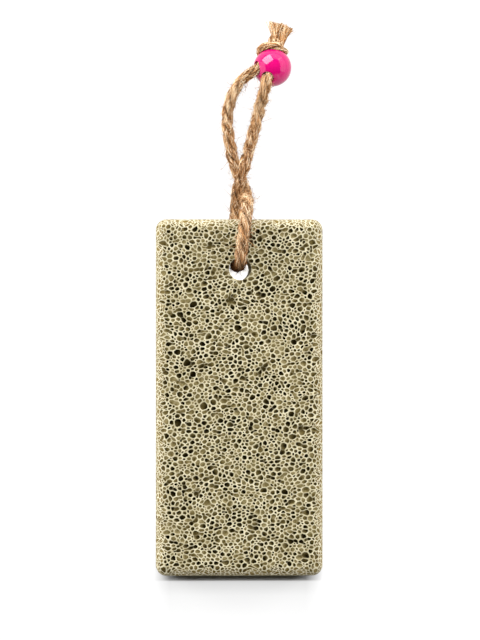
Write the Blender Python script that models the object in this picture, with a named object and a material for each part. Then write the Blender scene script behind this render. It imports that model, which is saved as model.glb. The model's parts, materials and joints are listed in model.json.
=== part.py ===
"""Bath stone: a slab of foamed rock with a hanging hole, a loop of jute twine and a bead.

The slab lies on its back. One run of the loop passes under it, so its holed end is a
little raised, and the rest of the loop lies on the same surface, beyond that end.
Lengths are in metres. +Z is up, and the slab's long side runs along Y.
"""
import math
import random

import bmesh
import bpy
import numpy as np
from mathutils import Matrix, Vector
from mathutils.geometry import delaunay_2d_cdt, interpolate_bezier

# the slab
STONE_WIDTH = 0.0470
STONE_LENGTH = 0.1000
STONE_THICKNESS = 0.0200
EDGE_RADIUS = 0.0030
HOLE_RADIUS = 0.00305
HOLE_OFFSET = 0.0360  # from the slab's middle, towards the twine
HOLE_CHAMFER = 0.0010  # round the back mouth, where the twine turns
HOLE_SIDES = 14
CUTTER_OVERRUN = 0.0010
ROCK_COLOUR = (0.60, 0.55, 0.40)
ROCK_ROUGHNESS = 0.92

# its pits
PIT_SIZES = (0.0022, 0.0018, 0.0014, 0.00116)  # radius of the room a pit keeps
PIT_TRIES = (300, 700, 1500, 12000)
PIT_DEPTH_SHARE = (0.7, 1.15)  # of that radius
PIT_ROW_STEP = 0.0030  # along the slab's edges
HOLE_LAND = 0.0046  # unpitted rock round each mouth of the hole
END_LAND = 0.0040  # unpitted rock in the middle of the end that the slab stands on
SEED = 23

# the twine, and the space under the slab that it takes up
TWINE_RADIUS = 0.00165
TWINE_SIDES_LEVEL = 2
TWINE_SPACE = 0.00390
TWINE_SPACE_AT = HOLE_OFFSET + 0.0044
TILT = math.asin(TWINE_SPACE / (STONE_LENGTH / 2 - EDGE_RADIUS + TWINE_SPACE_AT))
SPAN_STEPS = 2
JUTE_COLOUR = (0.64, 0.47, 0.28)
JUTE_ROUGHNESS = 0.95

# the loop's route from the knot round to the knot again: x, y, z and share of the full radius
ROUTE = (
    (0.01140, 0.09900, 0.00450, 0.72),
    (0.01110, 0.09720, 0.00600, 0.72),
    (0.01030, 0.09490, 0.00820, 0.78),
    (0.00920, 0.09250, 0.01000, 0.90),
    (0.00840, 0.09000, 0.01090, 1.0),
    (0.00760, 0.08700, 0.00880, 1.0),
    (0.00660, 0.08390, 0.00490, 1.0),
    (0.00560, 0.07990, 0.00240, 1.0),
    (0.00440, 0.07520, 0.00175, 1.0),
    (0.00310, 0.07060, 0.00260, 1.0),
    (0.00200, 0.06670, 0.00490, 1.0),
    (0.00090, 0.06310, 0.00590, 1.0),
    (0.00010, 0.05950, 0.00500, 1.0),
    (-0.00050, 0.05520, 0.00310, 1.0),
    (-0.00060, 0.05080, 0.00190, 1.0),
    (-0.00050, 0.04600, 0.00170, 1.0),
    (-0.00030, 0.04120, 0.00170, 1.0),
    (-0.00010, 0.03850, 0.00265, 1.0),
    (0.00000, 0.03740, 0.00500, 1.0),
    (0.00010, 0.03690, 0.01100, 1.0),
    (0.00020, 0.03660, 0.01900, 1.0),
    (0.00030, 0.03640, 0.02350, 1.0),
    (0.00035, 0.03730, 0.02560, 1.0),
    (0.00045, 0.03960, 0.02620, 1.0),
    (0.00080, 0.04400, 0.02610, 1.0),
    (0.00130, 0.04830, 0.02590, 1.0),
    (0.00180, 0.05150, 0.02360, 1.0),
    (0.00220, 0.05260, 0.01800, 1.0),
    (0.00250, 0.05290, 0.01000, 1.0),
    (0.00260, 0.05430, 0.00440, 1.0),
    (0.00250, 0.05750, 0.00220, 1.0),
    (0.00170, 0.06080, 0.00170, 1.0),
    (0.00020, 0.06430, 0.00170, 1.0),
    (-0.00130, 0.06840, 0.00170, 1.0),
    (-0.00220, 0.07330, 0.00170, 1.0),
    (-0.00290, 0.07900, 0.00175, 1.0),
    (-0.00230, 0.08420, 0.00280, 1.0),
    (-0.00020, 0.08890, 0.00510, 1.0),
    (0.00260, 0.09230, 0.00750, 1.0),
    (0.00540, 0.09400, 0.00840, 0.90),
    (0.00740, 0.09610, 0.00680, 0.78),
    (0.00850, 0.09900, 0.00450, 0.72),
)

# the bead on it
BEAD_RADIUS = 0.00545
BEAD_CENTRE = Vector((0.0100, 0.0946, BEAD_RADIUS))
BEAD_SEGMENTS = 22
BEAD_RINGS = 13
CHANNEL_RADIUS = 0.00195
CHANNEL_SIDES = 10
CHANNEL_POINTS = 4  # of the route's points at either end, which lie in the bead
CHANNEL_OVERRUN = 0.0030
SMOOTH_BELOW = math.radians(35.0)
BEAD_COLOUR = (0.82, 0.02, 0.22)
BEAD_ROUGHNESS = 0.12

# the knot, pressed against the bead, and the two cut ends
KNOT_CENTRE = Vector((0.0101, 0.1005, 0.0042))
KNOT_TURN_RADIUS = 0.0027
KNOT_TURN_TILT = math.radians(25.0)
KNOT_TURN_SEGMENTS = 14
KNOT_CORE = Vector((0.0032, 0.0026, 0.0032))
KNOT_CORE_SEGMENTS = 10
KNOT_CORE_RINGS = 7
BEAD_CLEARANCE = 0.0006
END_SIDES = 8
LEFT_END = (
    (0.0095, 0.1000, 0.0046, 0.0015),
    (0.0105, 0.1028, 0.0044, 0.0014),
    (0.0108, 0.1056, 0.0033, 0.0017),
    (0.0110, 0.1080, 0.0026, 0.0021),
)
RIGHT_END = (
    (0.0112, 0.1000, 0.0046, 0.0015),
    (0.0126, 0.1024, 0.0042, 0.0014),
    (0.0140, 0.1046, 0.0031, 0.0017),
    (0.0154, 0.1064, 0.0024, 0.0020),
)


def add_object(name, data):
    """Link a new object that holds the given mesh or curve."""
    obj = bpy.data.objects.new(name, data)
    bpy.context.scene.collection.objects.link(obj)
    return obj


def mesh_from(name, bm):
    """Turn a bmesh into a mesh whose faces point out."""
    bmesh.ops.recalc_face_normals(bm, faces=bm.faces)
    mesh = bpy.data.meshes.new(name)
    bm.to_mesh(mesh)
    bm.free()
    return mesh


def material(name, colour, roughness):
    """A plain surface finish for one kind of piece."""
    mat = bpy.data.materials.new(name)
    mat.use_nodes = True
    shader = mat.node_tree.nodes["Principled BSDF"]
    shader.inputs["Base Color"].default_value = (*colour, 1.0)
    shader.inputs["Roughness"].default_value = roughness
    shader.inputs["Metallic"].default_value = 0.0
    return mat


def boolean(obj, cutter, operation):
    """Combine obj with a hidden helper solid."""
    cutter.hide_render = True
    cutter.display_type = "WIRE"
    mod = obj.modifiers.new(cutter.name, "BOOLEAN")
    mod.operation = operation
    mod.solver = "EXACT"
    mod.object = cutter


def rings_to_solid(bm, rings):
    """Join rings of points, each of one length, into a closed skin with flat ends."""
    loops = [[bm.verts.new(p) for p in ring] for ring in rings]
    for low, high in zip(loops, loops[1:]):
        for i in range(len(low)):
            j = (i + 1) % len(low)
            bm.faces.new((low[i], low[j], high[j], high[i]))
    bm.faces.new(loops[0])
    bm.faces.new(loops[-1])


def tube_rings(points, radii, sides):
    """Rings of points round a path, turned as little as the path allows."""
    rings = []
    across = None
    for i, point in enumerate(points):
        ahead = points[min(i + 1, len(points) - 1)]
        behind = points[max(i - 1, 0)]
        along = (ahead - behind).normalized()
        if across is None:
            across = along.orthogonal()
        across = (across - along * across.dot(along)).normalized()
        up = along.cross(across)
        ring = []
        for k in range(sides):
            turn = 2 * math.pi * k / sides
            ring.append(point + radii[i] * (math.cos(turn) * across + math.sin(turn) * up))
        rings.append(ring)
    return rings


def tube_mesh(name, points, radii, sides):
    """A closed tube along a path."""
    bm = bmesh.new()
    rings_to_solid(bm, tube_rings(points, radii, sides))
    return mesh_from(name, bm)


def heading(before, here, after):
    """Direction of a smooth curve at a route point, about one unit long."""
    return (after - before) / ((here - before).length + (after - here).length)


def smooth_route(route, steps):
    """Points of a smooth curve through the route, and the twine's radius at each."""
    places = [Vector(stop[:3]) for stop in route]
    shares = [stop[3] for stop in route]
    last = len(places) - 1
    points = []
    radii = []
    for i in range(last):
        start, end = places[i], places[i + 1]
        reach = (end - start).length / 3
        leave = heading(places[max(i - 1, 0)], start, end)
        arrive = heading(start, end, places[min(i + 2, last)])
        span = interpolate_bezier(start, start + leave * reach, end - arrive * reach, end, steps + 1)
        for k in range(steps):
            points.append(span[k])
            radii.append(TWINE_RADIUS * (shares[i] + (shares[i + 1] - shares[i]) * k / steps))
    points.append(places[last])
    radii.append(TWINE_RADIUS * shares[last])
    return points, radii


def clamp(value, limit):
    return max(-limit, min(limit, value))


HALF = (STONE_WIDTH / 2, STONE_LENGTH / 2, STONE_THICKNESS / 2)


def rounded(point):
    """Move a point of the slab's square-edged box onto the rounded slab, with its normal."""
    inner = Vector([clamp(point[i], HALF[i] - EDGE_RADIUS) for i in range(3)])
    normal = (point - inner).normalized()
    return inner + normal * EDGE_RADIUS, normal


class Seeds:
    """Pit centres on the box, each with the radius of the room that its pit keeps."""

    def __init__(self):
        self.places = []
        self.sizes = []

    def add(self, place, size):
        self.places.append(tuple(place))
        self.sizes.append(size)

    def fits(self, place, size):
        gaps = np.linalg.norm(np.array(self.places) - place, axis=1)
        return bool(np.all(gaps > np.array(self.sizes) + size))


def edge_seeds(seeds):
    """Seeds at the box's corners and along its edges."""
    size = PIT_ROW_STEP / 2
    for sx in (-1, 1):
        for sy in (-1, 1):
            for sz in (-1, 1):
                seeds.add((sx * HALF[0], sy * HALF[1], sz * HALF[2]), size)
    for axis in range(3):
        others = [i for i in range(3) if i != axis]
        count = round(2 * HALF[axis] / PIT_ROW_STEP)
        for first in (-1, 1):
            for second in (-1, 1):
                for k in range(1, count):
                    place = [0.0, 0.0, 0.0]
                    place[axis] = HALF[axis] * (2 * k / count - 1)
                    place[others[0]] = first * HALF[others[0]]
                    place[others[1]] = second * HALF[others[1]]
                    seeds.add(place, size)


def face_seeds(seeds, rng):
    """Seeds strewn over the box's faces, the largest first."""
    areas = [4 * HALF[(i + 1) % 3] * HALF[(i + 2) % 3] for i in range(3)]
    for size, tries in zip(PIT_SIZES, PIT_TRIES):
        for _ in range(tries):
            axis = rng.choices((0, 1, 2), areas)[0]
            place = [rng.uniform(-HALF[i], HALF[i]) for i in range(3)]
            place[axis] = rng.choice((-1, 1)) * HALF[axis]
            if seeds.fits(place, size):
                seeds.add(place, size)


def seed_triangles(seeds):
    """Triangles between neighbouring seeds on each face of the box, facing out."""
    triangles = []
    for axis in range(3):
        right, up = (axis + 1) % 3, (axis + 2) % 3
        for side in (-1, 1):
            on_face = [i for i, p in enumerate(seeds.places) if p[axis] == side * HALF[axis]]
            flat = [Vector((seeds.places[i][right], seeds.places[i][up])) for i in on_face]
            faces = delaunay_2d_cdt(flat, [], [], 0, 1e-7)[2]
            for a, b, c in faces:
                order = (a, b, c) if side > 0 else (a, c, b)
                triangles.append(tuple(on_face[i] for i in order))
    return triangles


def junction(seeds, triangle):
    """Where the walls between three pits meet: nearer to the smaller ones."""
    total = Vector()
    weight = 0.0
    for i in triangle:
        total += Vector(seeds.places[i]) / seeds.sizes[i]
        weight += 1 / seeds.sizes[i]
    return total / weight


def pitted_slab(seeds, flat):
    """A closed skin whose faces run from the walls between pits down to each pit's bottom."""
    rng = random.Random(SEED)
    triangles = seed_triangles(seeds)
    bm = bmesh.new()
    corners = [bm.verts.new(rounded(junction(seeds, t))[0]) for t in triangles]
    starting = {}
    around = {}
    for number, (a, b, c) in enumerate(triangles):
        for here, ahead, behind in ((a, b, c), (b, c, a), (c, a, b)):
            starting[here, ahead] = number
            around[here, number] = behind
    first = {here: number for here, number in around}
    for here in range(len(seeds.places)):
        number = first[here]
        rim = []
        while True:
            rim.append(corners[number])
            number = starting[here, around[here, number]]
            if number == first[here]:
                break
        if here in flat:
            bm.faces.new(rim)
            continue
        place, normal = rounded(Vector(seeds.places[here]))
        depth = seeds.sizes[here] * rng.uniform(*PIT_DEPTH_SHARE)
        bottom = bm.verts.new(place - normal * depth)
        for i in range(len(rim)):
            bm.faces.new((rim[i], rim[(i + 1) % len(rim)], bottom))
    return bm


def hole_cutter():
    """A turned pin for the hanging hole, flared at the back."""
    beyond = STONE_THICKNESS / 2 + CUTTER_OVERRUN
    profile = (
        (-beyond, HOLE_RADIUS + HOLE_CHAMFER + CUTTER_OVERRUN),
        (HOLE_CHAMFER - STONE_THICKNESS / 2, HOLE_RADIUS),
        (beyond, HOLE_RADIUS),
    )
    rings = []
    for height, radius in profile:
        ring = []
        for k in range(HOLE_SIDES):
            turn = 2 * math.pi * (k + 0.5) / HOLE_SIDES
            ring.append(Vector((radius * math.cos(turn), HOLE_OFFSET + radius * math.sin(turn), height)))
        rings.append(ring)
    bm = bmesh.new()
    rings_to_solid(bm, rings)
    return add_object("hole_cutter", mesh_from("hole_cutter", bm))


def pumice_stone():
    """The slab, tilted about its middle and set down on its lowest points."""
    seeds = Seeds()
    edge_seeds(seeds)
    flat = []
    for place, land in (
        ((0.0, HOLE_OFFSET, HALF[2]), HOLE_LAND),
        ((0.0, HOLE_OFFSET, -HALF[2]), HOLE_LAND),
        ((0.0, -HALF[1], 0.0), END_LAND),
    ):
        flat.append(len(seeds.places))
        seeds.add(place, land)
    face_seeds(seeds, random.Random(SEED))
    mesh = mesh_from("pumice_stone", pitted_slab(seeds, flat))
    mesh.materials.append(material("foamed_rock", ROCK_COLOUR, ROCK_ROUGHNESS))
    stone = add_object("pumice_stone", mesh)
    turn = Matrix.Rotation(TILT, 4, "X")
    low = Vector([min((turn @ v.co)[i] for v in mesh.vertices) for i in range(3)])
    high = Vector([max((turn @ v.co)[i] for v in mesh.vertices) for i in range(3)])
    middle = (low + high) / 2
    place = Matrix.Translation((-middle.x, -middle.y, -low.z)) @ turn
    stone.matrix_world = place
    cutter = hole_cutter()
    cutter.matrix_world = place
    boolean(stone, cutter, "DIFFERENCE")
    return stone


def twine_loop(points, radii, jute):
    """The run of twine from the knot, round through the slab and back to the knot."""
    curve = bpy.data.curves.new("twine_loop", "CURVE")
    curve.dimensions = "3D"
    curve.bevel_depth = 1.0
    curve.bevel_resolution = TWINE_SIDES_LEVEL
    curve.use_fill_caps = True
    spline = curve.splines.new("POLY")
    spline.points.add(len(points) - 1)
    for stop, point, radius in zip(spline.points, points, radii):
        stop.co = (*point, 1.0)
        stop.radius = radius
    curve.materials.append(jute)
    return add_object("twine_loop", curve)


def bead(points):
    """A ball with a channel for each run of twine."""
    bm = bmesh.new()
    bmesh.ops.create_uvsphere(
        bm, u_segments=BEAD_SEGMENTS, v_segments=BEAD_RINGS, radius=BEAD_RADIUS
    )
    mesh = mesh_from("bead", bm)
    mesh.shade_smooth()
    mesh.set_sharp_from_angle(angle=SMOOTH_BELOW)
    mesh.materials.append(material("pink_plastic", BEAD_COLOUR, BEAD_ROUGHNESS))
    ball = add_object("bead", mesh)
    ball.location = BEAD_CENTRE
    ends = CHANNEL_POINTS * SPAN_STEPS
    runs = {"first": points[:ends], "second": points[::-1][:ends]}
    for name, run in runs.items():
        run = [run[0] + (run[0] - run[1]).normalized() * CHANNEL_OVERRUN] + run
        radii = [CHANNEL_RADIUS] * len(run)
        cutter = add_object(
            f"{name}_channel_cutter", tube_mesh(f"{name}_channel_cutter", run, radii, CHANNEL_SIDES)
        )
        boolean(ball, cutter, "DIFFERENCE")
    return ball


def turn_of_twine():
    """The turn of twine that closes the knot: a ring, leaning away from the bead at its top."""
    lean = Matrix.Rotation(-KNOT_TURN_TILT, 3, "X")
    bm = bmesh.new()
    loops = []
    for i in range(KNOT_TURN_SEGMENTS):
        angle = 2 * math.pi * i / KNOT_TURN_SEGMENTS
        out = Vector((math.cos(angle), 0.0, math.sin(angle)))
        loop = []
        for k in range(END_SIDES):
            turn = 2 * math.pi * k / END_SIDES
            spoke = math.cos(turn) * out + math.sin(turn) * Vector((0.0, 1.0, 0.0))
            place = KNOT_CENTRE + lean @ (KNOT_TURN_RADIUS * out + TWINE_RADIUS * spoke)
            loop.append(bm.verts.new(place))
        loops.append(loop)
    for i, low in enumerate(loops):
        high = loops[(i + 1) % len(loops)]
        for k in range(END_SIDES):
            j = (k + 1) % END_SIDES
            bm.faces.new((low[k], low[j], high[j], high[k]))
    return add_object("knot_turn", mesh_from("knot_turn", bm))


def bead_room():
    """A ball a little larger than the bead, which the knot is pressed against."""
    bm = bmesh.new()
    bmesh.ops.create_uvsphere(
        bm, u_segments=BEAD_SEGMENTS, v_segments=BEAD_RINGS, radius=BEAD_RADIUS + BEAD_CLEARANCE
    )
    room = add_object("bead_room", mesh_from("bead_room", bm))
    room.location = BEAD_CENTRE
    return room


def twine_knot(jute):
    """The overhand knot, drawn up against the bead, with its two frayed cut ends."""
    bm = bmesh.new()
    bmesh.ops.create_uvsphere(
        bm, u_segments=KNOT_CORE_SEGMENTS, v_segments=KNOT_CORE_RINGS, radius=1.0
    )
    bmesh.ops.scale(bm, vec=KNOT_CORE, verts=bm.verts)
    bmesh.ops.translate(bm, vec=KNOT_CENTRE, verts=bm.verts)
    mesh = mesh_from("twine_knot", bm)
    mesh.materials.append(jute)
    knot = add_object("twine_knot", mesh)
    boolean(knot, turn_of_twine(), "UNION")
    for name, stops in (("left_end", LEFT_END), ("right_end", RIGHT_END)):
        places = [Vector(stop[:3]) for stop in stops]
        widths = [stop[3] for stop in stops]
        boolean(knot, add_object(name, tube_mesh(name, places, widths, END_SIDES)), "UNION")
    boolean(knot, bead_room(), "DIFFERENCE")
    return knot


def main():
    for obj in list(bpy.data.objects):
        bpy.data.objects.remove(obj, do_unlink=True)
    points, radii = smooth_route(ROUTE, SPAN_STEPS)
    jute = material("jute", JUTE_COLOUR, JUTE_ROUGHNESS)
    pumice_stone()
    twine_loop(points, radii, jute)
    bead(points)
    twine_knot(jute)


main()
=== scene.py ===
"""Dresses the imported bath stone: pored pumice, laid jute twine with a tied and frayed end,
and a glossy bead, on a pale studio floor. Lengths are in metres, +Z is up."""
import json
import math
import random

import bpy
import numpy as np
from bpy.props import FloatProperty, FloatVectorProperty, IntProperty, PointerProperty
from bpy.types import Operator, Panel, PropertyGroup
from mathutils import Matrix, Vector
from mathutils.geometry import delaunay_2d_cdt, interpolate_bezier


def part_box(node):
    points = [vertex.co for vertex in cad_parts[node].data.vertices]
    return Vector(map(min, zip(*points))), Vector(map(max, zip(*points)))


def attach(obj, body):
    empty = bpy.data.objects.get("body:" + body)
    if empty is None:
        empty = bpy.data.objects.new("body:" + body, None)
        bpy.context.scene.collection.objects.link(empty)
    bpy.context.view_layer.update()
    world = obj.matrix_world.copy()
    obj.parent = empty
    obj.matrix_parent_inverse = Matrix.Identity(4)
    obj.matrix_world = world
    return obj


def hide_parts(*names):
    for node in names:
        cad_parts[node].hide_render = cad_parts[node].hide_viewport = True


bl_info = {
    "name": "Bath Stone Dresser",
    "version": (1, 0, 0),
    "blender": (4, 5, 0),
    "location": "View3D > Sidebar > Bath Stone",
    "description": "Makes the pumice slab, its jute twine, knot and bead, and the studio",
    "category": "Object",
}

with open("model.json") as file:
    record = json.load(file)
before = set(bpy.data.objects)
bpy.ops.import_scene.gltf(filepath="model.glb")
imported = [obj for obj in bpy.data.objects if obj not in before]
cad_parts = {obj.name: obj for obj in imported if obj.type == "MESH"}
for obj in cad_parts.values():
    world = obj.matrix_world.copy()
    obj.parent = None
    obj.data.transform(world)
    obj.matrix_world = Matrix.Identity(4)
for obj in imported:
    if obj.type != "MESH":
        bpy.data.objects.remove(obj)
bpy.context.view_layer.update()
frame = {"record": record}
STONE_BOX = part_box("pumice_stone")
TILT = math.asin(-frame["record"]["mounts"][0]["axis"][2])

# the twine's route, from the knot round to the knot again: x, y, z and share of full radius
ROUTE = (
    (0.0114, 0.099, 0.0045, 0.72), (0.01005, 0.0949, 0.007, 0.78),
    (0.0089, 0.0924, 0.0086, 0.88), (0.00815, 0.09, 0.00945, 0.96),
    (0.00745, 0.087, 0.00815, 1.0), (0.0066, 0.0839, 0.0049, 1.0),
    (0.0056, 0.0799, 0.0024, 1.0), (0.0044, 0.0752, 0.00175, 1.0),
    (0.0031, 0.0706, 0.0026, 1.0), (0.002, 0.0667, 0.0049, 1.0),
    (0.0009, 0.0631, 0.0059, 1.0), (0.0001, 0.0595, 0.005, 1.0),
    (-0.0005, 0.0552, 0.0031, 1.0), (-0.0006, 0.05, 0.00182, 1.0),
    (-0.0003, 0.0412, 0.0017, 1.0), (-0.0001, 0.0387, 0.00265, 1.0),
    (-0.0004, 0.0377, 0.005, 1.0), (-0.00055, 0.03715, 0.011, 0.97),
    (-0.0003, 0.0369, 0.019, 0.96), (0.00015, 0.03675, 0.0235, 0.96),
    (0.00035, 0.03755, 0.02565, 0.98), (0.00045, 0.0396, 0.0262, 1.03),
    (0.0015, 0.0483, 0.026, 1.05), (0.00195, 0.0518, 0.0248, 1.05),
    (0.0022, 0.054, 0.022, 1.04), (0.0023, 0.05535, 0.017, 1.02),
    (0.00238, 0.0561, 0.0108, 1.0), (0.00248, 0.0569, 0.0052, 1.0),
    (0.00232, 0.0587, 0.00235, 1.0), (0.00165, 0.0611, 0.00178, 1.0),
    (0.0002, 0.0643, 0.0017, 1.0), (-0.0013, 0.0684, 0.0017, 1.0),
    (-0.0022, 0.0733, 0.0017, 1.0), (-0.0029, 0.079, 0.00175, 1.0),
    (-0.0024, 0.0842, 0.00265, 1.0), (-0.00035, 0.08885, 0.0047, 0.96),
    (0.00235, 0.09185, 0.0069, 0.92), (0.00505, 0.09355, 0.00775, 0.86),
    (0.0074, 0.0961, 0.0066, 0.76), (0.0085, 0.099, 0.0045, 0.72),
)
# how much darker (below 0) or paler the jute is, by share of the loop's length
LOOP_SHADES = (
    (0.0, -0.3), (0.06, -0.3), (0.11, 0.4), (0.16, -0.7), (0.23, -1.6), (0.28, -1.3), (0.34, -0.8),
    (0.5, -1.1), (0.62, -0.7), (0.74, -1.3), (0.84, -0.8), (0.91, 0.7), (0.95, -0.7), (1.0, -0.5),
)
# the same for the knot
KNOT_SHADES = ((0.0, -0.45), (1.0, -0.45))
BEAD_CENTRE = Vector((0.0100, 0.0946, 0.00545))


# ---------------------------------------------------------------- settings


def length_setting(name, description, default):
    return FloatProperty(name=name, description=description, default=default, unit="LENGTH")


def colour_setting(name, description, default):
    return FloatVectorProperty(
        name=name, description=description, default=default, subtype="COLOR", size=3, min=0, max=1
    )


class StoneSettings(PropertyGroup):
    width: length_setting("Width", "Across the slab", 0.0470)
    length: length_setting("Length", "Along the slab", 0.1004)
    thickness: length_setting("Thickness", "Through the slab", 0.0200)
    edge_radius: length_setting("Edge radius", "Rounding of every edge", 0.0030)
    hole_radius: length_setting("Hole radius", "Radius of the hanging hole", 0.00314)
    hole_offset: length_setting("Hole offset", "From the middle to the hole", 0.0362)
    wall: length_setting("Wall", "Thickness of the rock between two pores", 0.00013)
    seed: IntProperty(name="Seed", description="Scatter of the pores", default=11)
    ridge_colour: colour_setting("Ridges", "Rock between the pores", (0.555, 0.506, 0.358))
    # the pores' insides are painted shade: darker than the rock, to near black in the deepest
    shallow_shade_colour: colour_setting("Shallows", "Inside of shallow pores", (0.250, 0.210, 0.110))
    floor_shade_colour: colour_setting("Floors", "Inside of the pores", (0.120, 0.092, 0.036))
    deep_shade_colour: colour_setting("Depths", "Inside of the deepest pores", (0.006, 0.004, 0.001))


class TwineSettings(PropertyGroup):
    diameter: length_setting("Diameter", "Across the laid twine", 0.0033)
    pitch: length_setting("Pitch", "Length of one turn of a ply", 0.0135)
    plies: IntProperty(name="Plies", description="Strands laid together", default=3)
    seed: IntProperty(name="Seed", description="Scatter of the fibres", default=4)
    light_colour: colour_setting("Light", "Fibres on the outside", (0.67, 0.372, 0.155))
    dark_colour: colour_setting("Dark", "Fibres in the gaps", (0.100, 0.037, 0.011))


class BeadSettings(PropertyGroup):
    radius: length_setting("Radius", "Of the ball", 0.00545)
    channel_radius: length_setting("Channel radius", "Of each opening", 0.00180)
    colour: colour_setting("Colour", "Of the plastic", (0.54, 0.002, 0.124))


class StageSettings(PropertyGroup):
    distance: length_setting("Camera distance", "From the slab's face", 0.900)
    side_angle: FloatProperty(
        name="Side angle",
        description="How far left of square the camera looks",
        default=math.radians(1.5),
        subtype="ANGLE",
    )
    aim_x: length_setting("Aim x", "Across the slab's face", 0.00014)
    aim_y: length_setting("Aim y", "Along the slab's face", 0.02183)
    view_height: length_setting("View height", "Length seen at the slab's face", 0.17978)


# ---------------------------------------------------------------- finishes


class Value:
    """A shader socket that takes part in sums: each sum adds its Math node."""

    def __init__(self, finish, socket):
        self.finish = finish
        self.socket = socket

    def sum(self, operation, first, second):
        sockets = {0: first, 1: second}
        return self.finish.node("ShaderNodeMath", {"operation": operation}, sockets)

    def __add__(self, other):
        return self.sum("ADD", self, other)

    def __radd__(self, other):
        return self.sum("ADD", other, self)

    def __rsub__(self, other):
        return self.sum("SUBTRACT", other, self)

    def __mul__(self, other):
        return self.sum("MULTIPLY", self, other)

    def __rmul__(self, other):
        return self.sum("MULTIPLY", other, self)


class Finish:
    """A material under construction."""

    def __init__(self, name):
        self.material = bpy.data.materials.new(name)
        self.material.use_nodes = True
        self.tree = self.material.node_tree
        self.tree.nodes.clear()

    def node(self, kind, settings=None, sockets=None, output=0):
        """Add a node: its settings first, then the values or links of its sockets."""
        made = self.tree.nodes.new(kind)
        for key, value in (settings or {}).items():
            if key == "stops":
                elements = made.color_ramp.elements
                while len(elements) < len(value):
                    elements.new(0.5)
                for element, (position, colour) in zip(elements, value):
                    element.position = position
                    element.color = (*colour, 1.0)
            else:
                setattr(made, key, value)
        for key, value in (sockets or {}).items():
            socket = made.inputs[key]
            if isinstance(value, Value):
                self.tree.links.new(value.socket, socket)
            elif socket.type == "RGBA":
                socket.default_value = (*value, 1.0)
            else:
                socket.default_value = value
        return Value(self, made.outputs[output]) if made.outputs else None

    def attribute(self, name, output="Fac"):
        return self.node("ShaderNodeAttribute", {"attribute_name": name}, output=output)

    def place(self):
        return self.node("ShaderNodeTexCoord", output="Object")

    def noise(self, vector, scale, detail=2.0, rough=0.5):
        sockets = {"Vector": vector, "Scale": scale, "Detail": detail, "Roughness": rough}
        return self.node("ShaderNodeTexNoise", sockets=sockets)

    def mix(self, factor, first, second, blend="MIX"):
        settings = {"data_type": "RGBA", "blend_type": blend}
        return self.node("ShaderNodeMix", settings, {0: factor, 6: first, 7: second}, 2)

    def ramp(self, factor, stops):
        return self.node("ShaderNodeValToRGB", {"stops": stops}, {"Fac": factor})

    def range(self, value, *ends):
        """A value brought from the first two ends to the last two, or to 0 and 1."""
        names = ("Value", "From Min", "From Max", "To Min", "To Max")
        return self.node("ShaderNodeMapRange", sockets=dict(zip(names, (value, *ends))))

    def tint(self, colour, other, value, *ends, blend="MIX"):
        """Another colour brought in while a value runs between its ends."""
        return self.mix(self.range(value, *ends), colour, other, blend)

    def bump(self, height, distance, strength):
        sockets = {"Height": height, "Distance": distance, "Strength": strength}
        return self.node("ShaderNodeBump", sockets=sockets)

    def surface(self, **sockets):
        """Finish with a Principled surface; spaces in socket names are written as underscores."""
        named = {key.replace("_", " "): value for key, value in sockets.items()}
        shader = self.node("ShaderNodeBsdfPrincipled", sockets=named)
        self.node("ShaderNodeOutputMaterial", sockets={"Surface": shader})
        return self.material


# what each point of the slab tells its finish
PORE_MARKS = ("inside", "dark", "tone", "band")


def pumice_finish(stone):
    """Cream walls, pores painted in shade from shallow and pale olive to near black, and fine
    pinholes over all.
    """
    rock = Finish("pumice")
    place = rock.place()
    inside, dark, tone, band = (rock.attribute(name) for name in PORE_MARKS)
    patches = rock.noise(place, 420.0, 3.0)
    mottle = rock.noise(place, 1300.0, 2.0, 0.6)
    grain = rock.noise(place, 2600.0, 3.0, 0.65)
    pinholes = rock.node(
        "ShaderNodeTexVoronoi", sockets={"Vector": place, "Scale": 1500.0}, output="Distance"
    )
    pits = rock.range(pinholes, 0.16, 0.34)
    walls = rock.tint(stone.ridge_colour, (0.36, 0.318, 0.202), patches, 0.36, 0.62, 0.0, 0.9)
    # painted light: walls paler along the rounded edges
    walls = rock.mix(band * 0.60, walls, (0.74, 0.69, 0.53))
    # painted shade in the pores, darker as they run deeper
    stops = (
        (0.0, stone.shallow_shade_colour),
        (0.45, stone.floor_shade_colour),
        (0.75, (0.050, 0.038, 0.013)),
        (1.0, stone.deep_shade_colour),
    )
    floors = rock.ramp(dark, stops)
    floors = rock.tint(floors, (0.62, 0.59, 0.50), tone, 0.0, 1.0, 0.0, 0.5, blend="MULTIPLY")
    floors = rock.tint(floors, (0.40, 0.37, 0.28), mottle, 0.42, 0.6, 0.0, 0.7, blend="MULTIPLY")
    # and pore floors paler and warmer there, painted light too
    floors = rock.mix(band * 0.55, floors, (0.25, 0.178, 0.064))
    # from rim to middle the wall colour gives way to the painted shade inside
    colour = rock.tint(walls, floors, inside, 0.05, 0.34)
    colour = rock.tint(colour, (0.9, 0.86, 0.66), grain, 0.3, 0.7, 0.0, 0.3, blend="SOFT_LIGHT")
    # painted shade in the fine pinholes
    colour = rock.mix((1.0 - pits) * 0.25, colour, (0.30, 0.26, 0.15), "MULTIPLY")
    return rock.surface(
        Base_Color=colour,
        Roughness=0.92,
        Specular_IOR_Level=0.0,
        Normal=rock.bump(grain * 0.4 + pits * 0.6, 0.00006, 0.7),
    )


PALE_JUTE = (0.95, 0.74, 0.48)


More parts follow.
